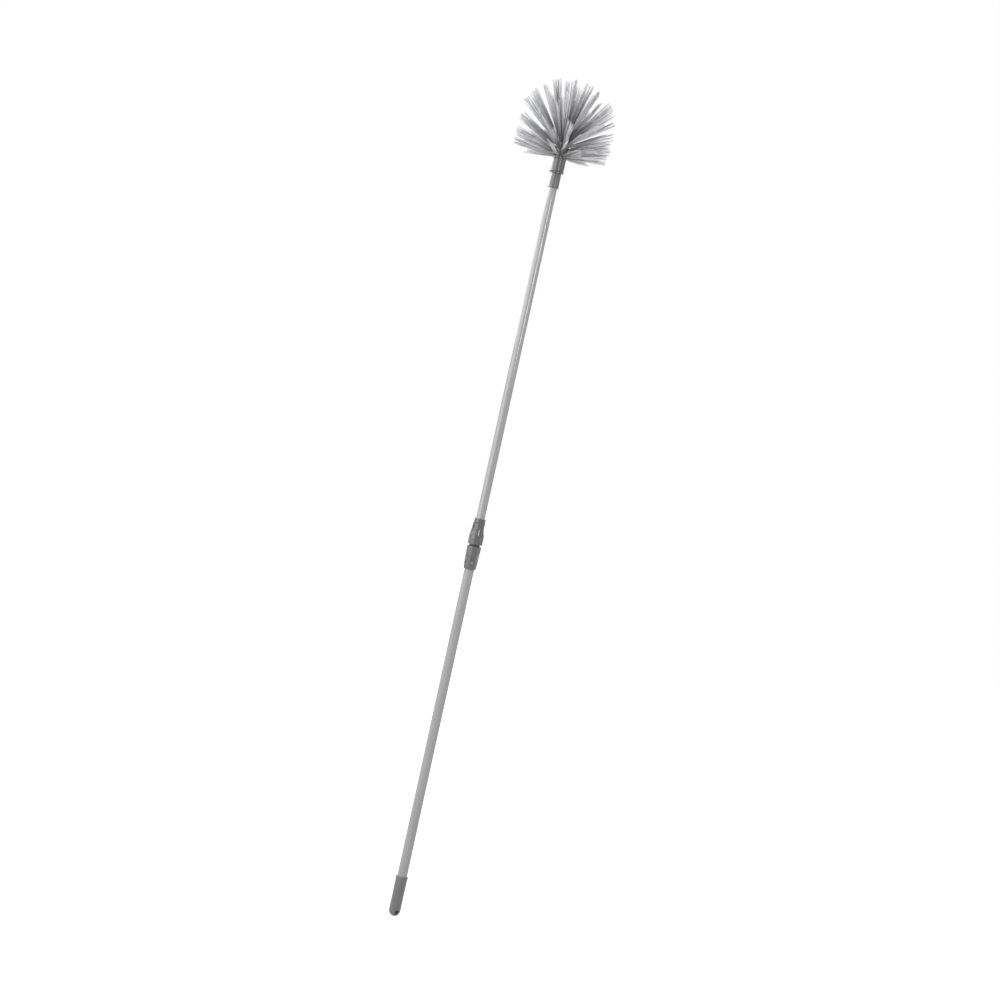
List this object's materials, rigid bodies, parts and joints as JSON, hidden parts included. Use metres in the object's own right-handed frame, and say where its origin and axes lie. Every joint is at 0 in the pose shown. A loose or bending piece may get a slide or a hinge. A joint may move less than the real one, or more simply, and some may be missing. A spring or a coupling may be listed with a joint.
{
  "type": "cobweb brush",
  "caption": "Telescopic cobweb brush: a two-stage twist-lock pole, a hand grip with a hanging hole, and a domed head of bristle tufts.",
  "frame": {"origin": "lowest point of the grip's domed end, on the pole's axis", "axes": "+Z along the pole towards the brush head; the hanging hole runs along Y"},
  "size_m": [0.2054, 0.2058, 1.8442],
  "materials": {
    "grip_plastic": "fine moulded texture",
    "lower_tube_lacquer": "satin grey lacquer",
    "lock_plastic": "smooth matte",
    "collet_plastic": "natural",
    "upper_tube_lacquer": "glossy grey lacquer",
    "plug_plastic": "smooth",
    "fitting_plastic": "smooth matte",
    "head_plastic": "smooth with a soft shine",
    "bristles": "drawn strands"
  },
  "bodies": {
    "handle": {"grip": "grip_plastic", "outer_tube": "lower_tube_lacquer", "lock_body": "lock_plastic"},
    "collet": {"lock_collet": "collet_plastic"},
    "nut": {"lock_nut": "lock_plastic"},
    "guide": {"guide_ring": "collet_plastic"},
    "upper_pole": {"inner_tube": "upper_tube_lacquer", "guide_plug": "plug_plastic", "tip_fitting": "fitting_plastic"},
    "head": {"head_block": "head_plastic", "tuft_row_1": "bristles", "tuft_row_2": "bristles", "tuft_row_3": "bristles", "tuft_row_4": "bristles", "tuft_row_5": "bristles", "tuft_row_6": "bristles", "tuft_row_7": "bristles", "tuft_crown": "bristles"}
  },
  "joints": [
    {"name": "telescope", "type": "slide", "parent": "handle", "child": "guide", "axis": [0, 0, 1], "range_m": [-0.72, 0]},
    {"name": "upper_pole_swivel", "type": "hinge", "parent": "guide", "child": "upper_pole", "pos_m": [0, 0, 0.79], "axis": [0, 0, 1], "continuous": true},
    {"name": "head_unscrew", "type": "slide", "parent": "upper_pole", "child": "head", "axis": [0, 0, 1], "range_m": [0, 0.032]},
    {"name": "collet_rise", "type": "slide", "parent": "handle", "child": "collet", "axis": [0, 0, 1], "range_m": [0, 0.003]},
    {"name": "nut_turn", "type": "hinge", "parent": "collet", "child": "nut", "pos_m": [0, 0, 0.857], "axis": [0, 0, 1], "range_deg": [0, 360]}
  ],
  "couplings": [
    {"joint": "collet_rise", "follows": "nut_turn", "m_per_rad": 0.0004774}
  ]
}
